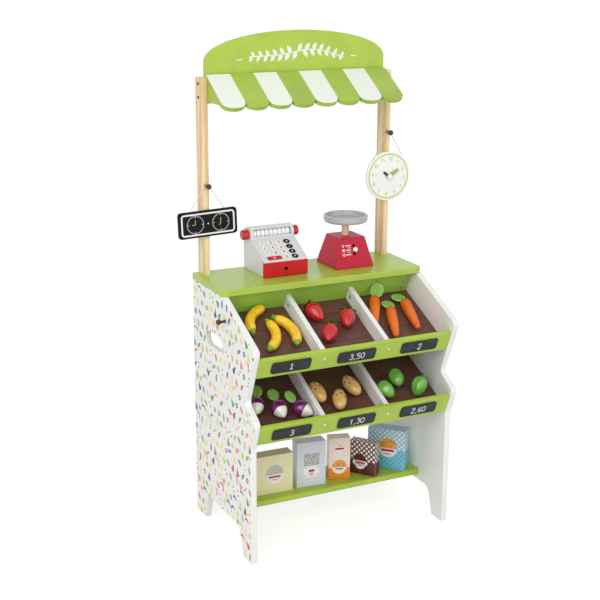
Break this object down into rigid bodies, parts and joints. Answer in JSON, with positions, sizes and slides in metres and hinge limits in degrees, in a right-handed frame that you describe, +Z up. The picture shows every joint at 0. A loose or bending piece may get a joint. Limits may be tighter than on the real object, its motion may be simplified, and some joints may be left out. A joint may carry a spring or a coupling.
{
  "type": "toy market stall",
  "caption": "Child's wooden market stall with a counter, sloped produce trays, a shelf, an awning under an arched sign, a till, a scale, a clock and toy goods.",
  "frame": {"origin": "on the floor, midway across the side panels and midway between their back edges and their lower noses", "axes": "+Z up, -Y towards the customer's side with the trays, +X to the right as seen by the customer"},
  "size_m": [0.6213, 0.361, 1.181],
  "materials": {
    "white_board": "white painted board",
    "lime_board": "lime painted board",
    "pine": "clear lacquered pine",
    "brown_board": "brown stained board",
    "slate_board": "blackboard paint",
    "screw_steel": "bright screws",
    "dark_wood": "dark stained turned wood",
    "cord": "thin white string",
    "grey_paint": "pale grey painted wood",
    "red_paint": "red painted wood",
    "crimson_paint": "crimson painted wood",
    "dish_grey": "grey painted turned wood",
    "white_paint": "white painted wood",
    "cream_card": "printed card",
    "grey_card": "printed card",
    "pink_card": "printed card",
    "brown_card": "printed card",
    "blue_card": "printed card",
    "yellow_paint": "yellow painted wood",
    "orange_paint": "orange painted wood",
    "purple_paint": "purple painted wood",
    "potato_paint": "tan painted wood",
    "pepper_paint": "glossy green painted wood",
    "stem_paint": "dark green painted wood",
    "felt": "green felt"
  },
  "bodies": {
    "stall": {"left_side_panel": "white_board", "right_side_panel": "white_board", "counter_top": "lime_board", "left_post": "pine", "right_post": "pine", "sign_board": "lime_board", "awning_panel": "lime_board", "left_awning_cheek": "lime_board", "right_awning_cheek": "lime_board", "upper_tray_base": "brown_board", "upper_tray_back": "lime_board", "upper_left_divider": "white_board", "upper_right_divider": "white_board", "upper_tray_front": "lime_board", "lower_tray_base": "brown_board", "lower_tray_back": "lime_board", "lower_left_divider": "white_board", "lower_right_divider": "white_board", "lower_tray_front": "lime_board", "tray_corner_blocks": "pine", "price_slates": "slate_board", "bottom_shelf": "lime_board", "hanging_pegs": "dark_wood", "post_screws": "screw_steel", "tray_screws": "screw_steel", "block_screws": "screw_steel", "barrel_nuts": "screw_steel", "frame_dowels": "pine"},
    "hours_sign": {"hours_board": "slate_board", "hours_board_cord": "cord"},
    "clock": {"clock_face": "white_paint", "clock_cord": "cord", "clock_pin": "white_paint"},
    "hour_hand": {"clock_hour_hand": "dark_wood"},
    "minute_hand": {"clock_minute_hand": "lime_board"},
    "till": {"register_body": "grey_paint"},
    "till_drawer": {"register_drawer": "pine", "register_drawer_front": "red_paint"},
    "till_roller": {"register_roller_shaft": "pine", "register_number_wheels": "white_paint", "register_knobs": "red_paint"},
    "scale": {"scale_base": "crimson_paint", "scale_stem": "pine", "scale_dish": "dish_grey"},
    "scale_needle": {"scale_pointer": "white_paint"},
    "cream_box": {"cream_carton": "cream_card"},
    "grey_box": {"grey_carton": "grey_card"},
    "pink_box": {"pink_carton": "pink_card"},
    "brown_box": {"brown_carton": "brown_card"},
    "blue_box": {"blue_carton": "blue_card"},
    "banana_group": {"bananas": "yellow_paint"},
    "strawberry_group": {"strawberries": "red_paint", "strawberry_leaves": "felt"},
    "carrot_group": {"carrots": "orange_paint", "carrot_leaves": "felt"},
    "turnip_group": {"turnips": "purple_paint", "turnip_leaves": "felt"},
    "potato_group": {"potatoes": "potato_paint"},
    "pepper_group": {"peppers": "pepper_paint", "pepper_stems": "stem_paint"}
  },
  "joints": [
    {"name": "hours_board_swing", "type": "hinge", "parent": "stall", "child": "hours_sign", "pos_m": [-0.2425, 0.1345, 0.83223], "axis": [0, 1, 0], "range_deg": [-12, 12]},
    {"name": "clock_swing", "type": "hinge", "parent": "stall", "child": "clock", "pos_m": [0.2425, 0.134, 0.92893], "axis": [0, 1, 0], "range_deg": [-12, 12]},
    {"name": "hour_hand_turn", "type": "hinge", "parent": "clock", "child": "hour_hand", "pos_m": [0.2425, 0.129, 0.81993], "axis": [0, 1, 0], "continuous": true},
    {"name": "minute_hand_turn", "type": "hinge", "parent": "clock", "child": "minute_hand", "pos_m": [0.2425, 0.126, 0.81993], "axis": [0, 1, 0], "continuous": true},
    {"name": "till_lift", "type": "slide", "parent": "stall", "child": "till", "axis": [0, 0, 1], "range_m": [0, 0.08]},
    {"name": "drawer_slide", "type": "slide", "parent": "till", "child": "till_drawer", "axis": [0, -1, 0], "range_m": [0, 0.07]},
    {"name": "roller_turn", "type": "hinge", "parent": "till", "child": "till_roller", "pos_m": [-0.076, 0.149, 0.7033], "axis": [1, 0, 0], "continuous": true},
    {"name": "scale_lift", "type": "slide", "parent": "stall", "child": "scale", "axis": [0, 0, 1], "range_m": [0, 0.08]},
    {"name": "scale_pointer_swing", "type": "hinge", "parent": "scale", "child": "scale_needle", "pos_m": [0.093, 0.06085, 0.6603], "axis": [0, -0.9709, 0.2394], "range_deg": [-30, 30]},
    {"name": "cream_carton_lift", "type": "slide", "parent": "stall", "child": "cream_box", "axis": [0, 0, 1], "range_m": [0, 0.05]},
    {"name": "grey_carton_lift", "type": "slide", "parent": "stall", "child": "grey_box", "axis": [0, 0, 1], "range_m": [0, 0.05]},
    {"name": "pink_carton_lift", "type": "slide", "parent": "stall", "child": "pink_box", "axis": [0, 0, 1], "range_m": [0, 0.05]},
    {"name": "brown_carton_lift", "type": "slide", "parent": "stall", "child": "brown_box", "axis": [0, 0, 1], "range_m": [0, 0.05]},
    {"name": "blue_carton_lift", "type": "slide", "parent": "stall", "child": "blue_box", "axis": [0, 0, 1], "range_m": [0, 0.05]},
    {"name": "banana_lift", "type": "slide", "parent": "stall", "child": "banana_group", "axis": [0, -0.4147, 0.91], "range_m": [0, 0.03]},
    {"name": "strawberry_lift", "type": "slide", "parent": "stall", "child": "strawberry_group", "axis": [0, -0.4147, 0.91], "range_m": [0, 0.02]},
    {"name": "carrot_lift", "type": "slide", "parent": "stall", "child": "carrot_group", "axis": [0, -0.866, 0.5], "range_m": [0, 0.045]},
    {"name": "turnip_lift", "type": "slide", "parent": "stall", "child": "turnip_group", "axis": [0, -0.4147, 0.91], "range_m": [0, 0.05]},
    {"name": "potato_lift", "type": "slide", "parent": "stall", "child": "potato_group", "axis": [0, -0.4147, 0.91], "range_m": [0, 0.05]},
    {"name": "pepper_lift", "type": "slide", "parent": "stall", "child": "pepper_group", "axis": [0, -0.4147, 0.91], "range_m": [0, 0.05]}
  ]
}
